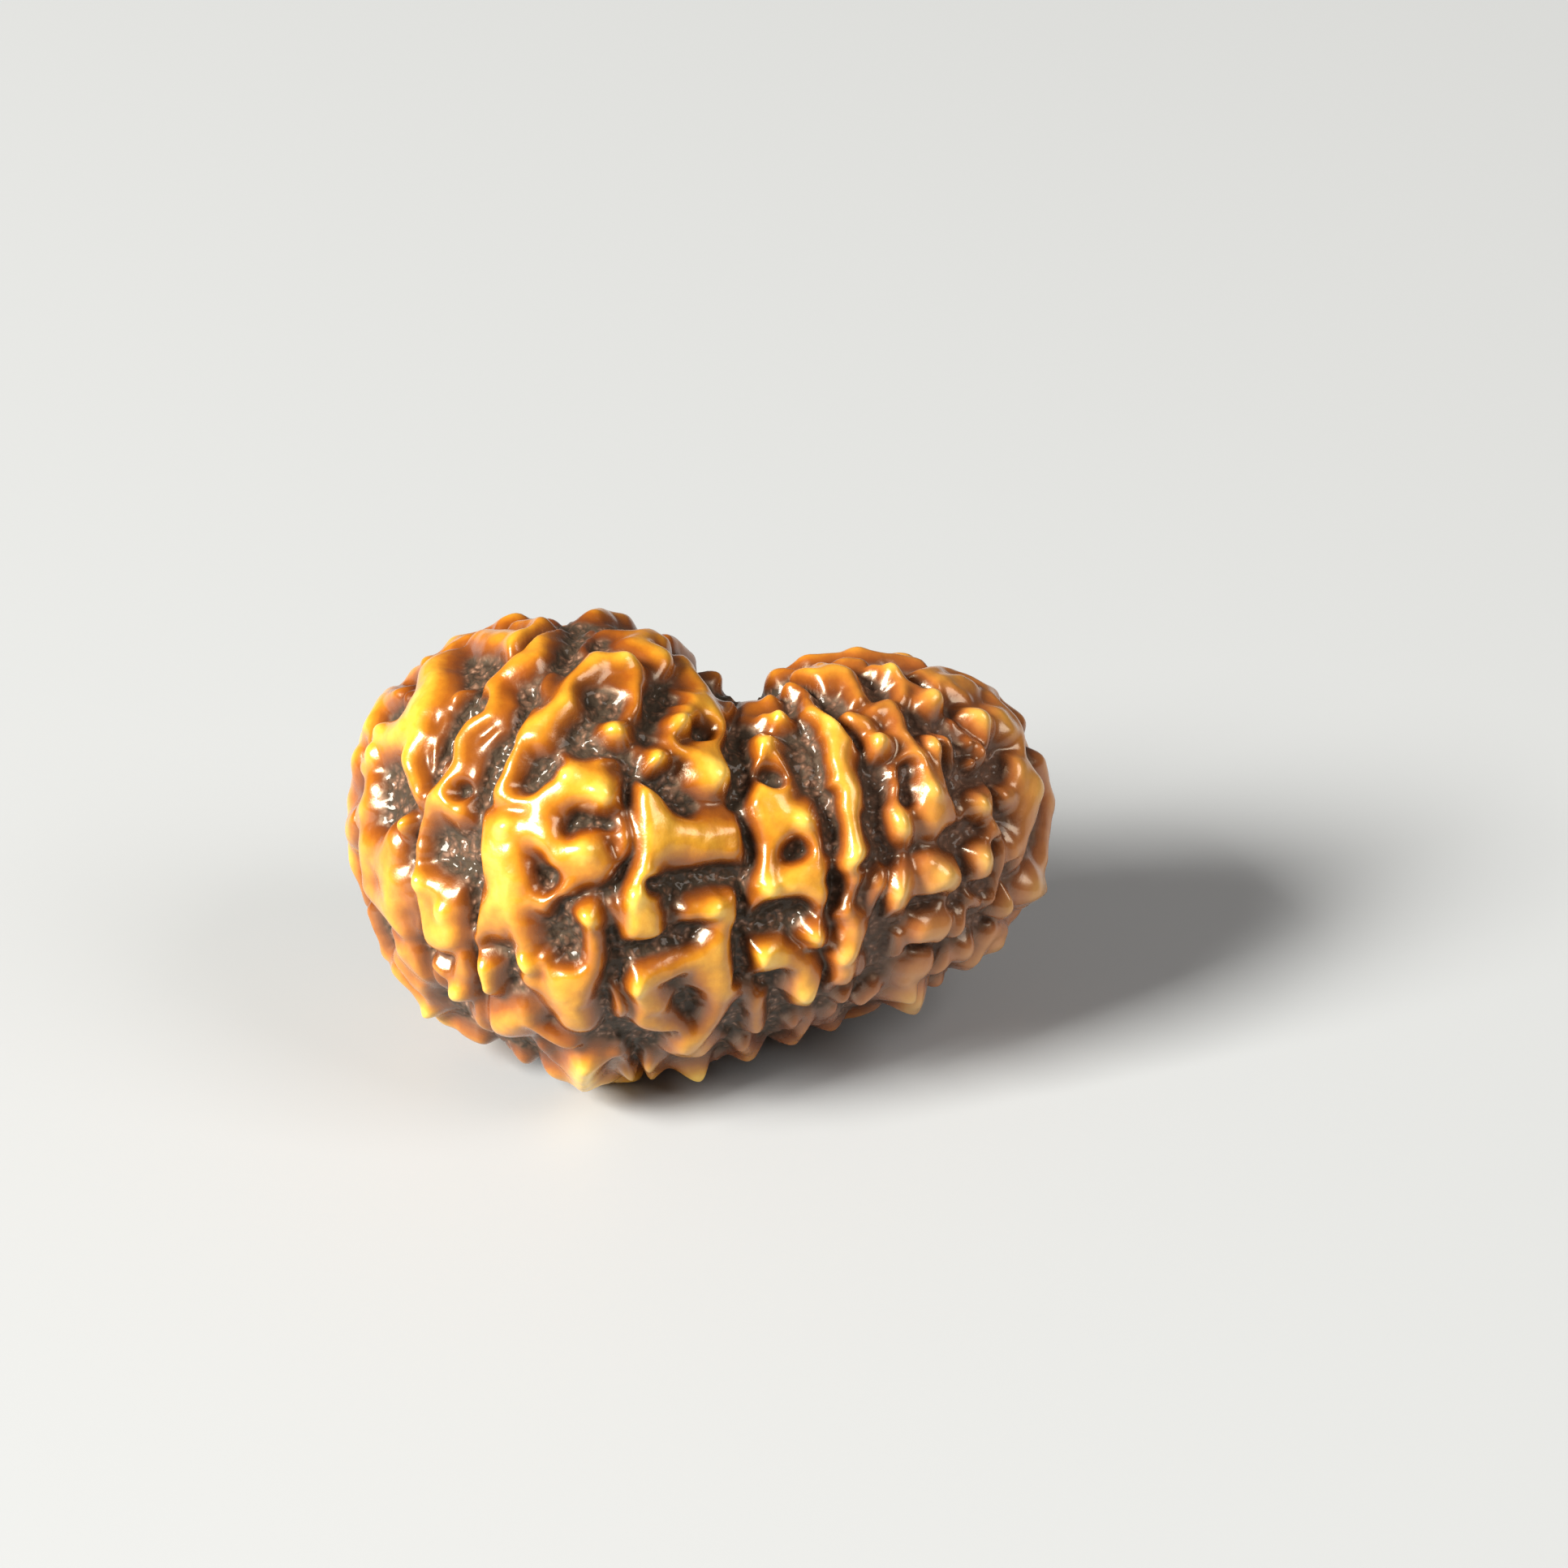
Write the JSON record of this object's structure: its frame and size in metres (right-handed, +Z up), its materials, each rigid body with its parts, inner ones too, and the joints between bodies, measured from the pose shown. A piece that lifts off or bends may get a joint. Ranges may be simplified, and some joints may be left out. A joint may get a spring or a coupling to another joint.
{
  "type": "fifteen mukhi rudraksha bead",
  "caption": "Large kidney-shaped dried fruit stone with deep furrows and a net of raised woody ridges, undrilled, that lies on a small flat spot.",
  "frame": {"origin": "on the ground below the middle of the bead's box", "axes": "+X along the bead towards its small lobe, -Y to the side that faces the viewer, +Z up as it lies"},
  "size_m": [0.0304, 0.0203, 0.0197],
  "materials": {
    "bead": "hard dried fruit stone, oiled and polished amber brown on the ridges, dull dark brown in the pits"
  },
  "bodies": {
    "root": {"bead": "bead"}
  },
  "joints": []
}
